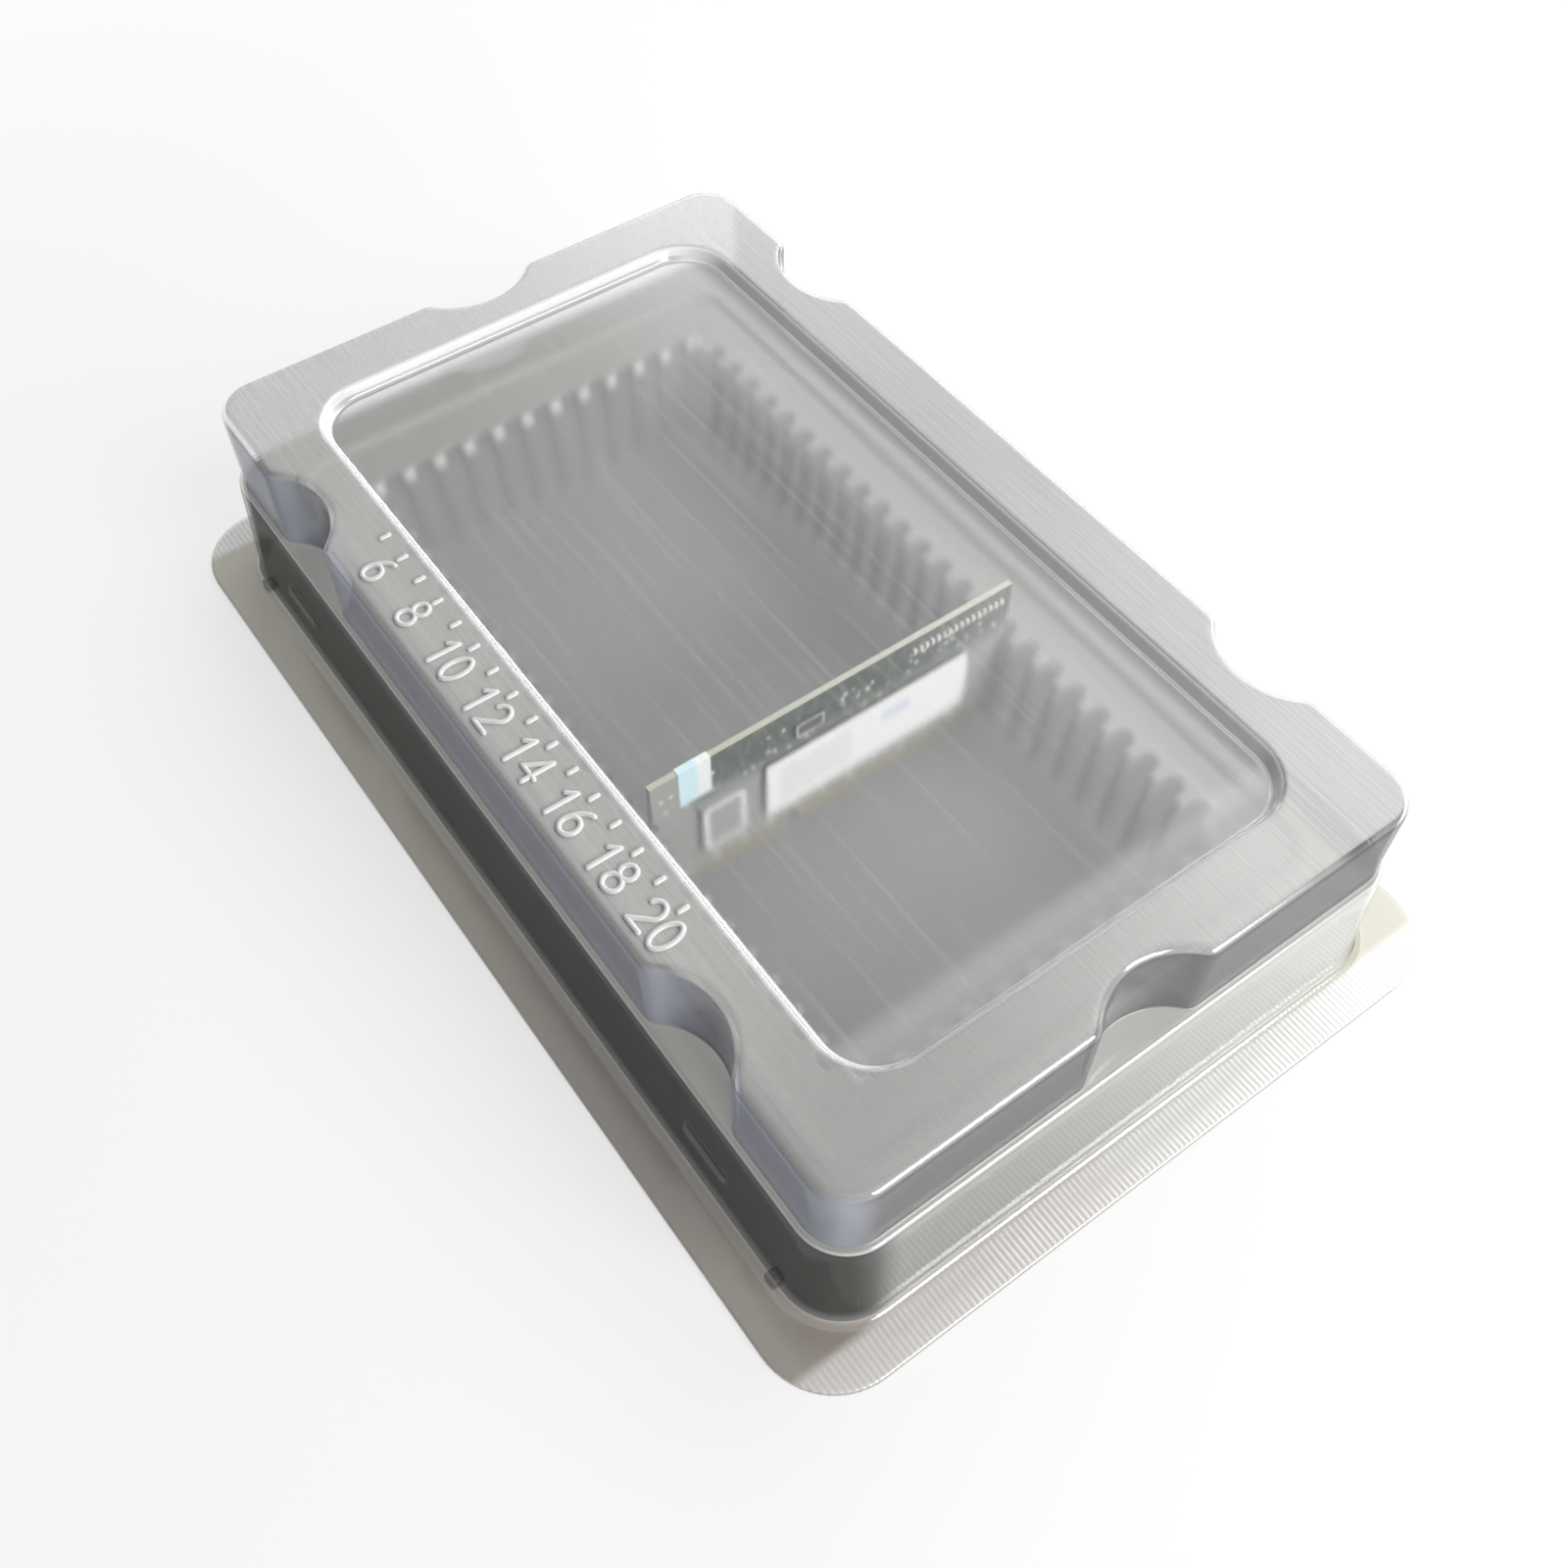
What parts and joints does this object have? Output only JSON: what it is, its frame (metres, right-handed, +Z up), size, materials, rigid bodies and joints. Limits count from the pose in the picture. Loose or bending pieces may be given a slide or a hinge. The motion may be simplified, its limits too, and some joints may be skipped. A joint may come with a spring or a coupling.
{
  "type": "lidded memory module tray",
  "caption": "Clear formed tray with a combed pocket that holds upright memory modules, under a deep nesting lid with finger notches and a recessed window.",
  "frame": {"origin": "under the middle of the tray, on the surface it stands on", "axes": "+X along the short side, +Y along the long side, +Z up"},
  "size_m": [0.1226, 0.1942, 0.0382],
  "materials": {
    "clear_lid": "clear formed sheet with fine mould lines",
    "clear_tray": "clear formed sheet, slightly grey",
    "board": "green solder mask, pale cut edge",
    "chip": "moulded, fine grain",
    "gold": "thin gold plating",
    "passive": "ceramic with tinned ends",
    "paper": "white label stock",
    "flag": "thin printed film"
  },
  "bodies": {
    "tray": {"base_tray": "clear_tray", "module_board": "board", "module_chips_front": "chip", "module_chips_back": "chip", "module_contacts": "gold", "module_passives": "passive", "module_small_chip": "chip", "module_label": "paper", "module_flag": "flag"},
    "lid": {"lid": "clear_lid"}
  },
  "joints": [
    {"name": "lid_lift", "type": "slide", "parent": "tray", "child": "lid", "axis": [0, 0, 1], "range_m": [0, 0.06]}
  ]
}
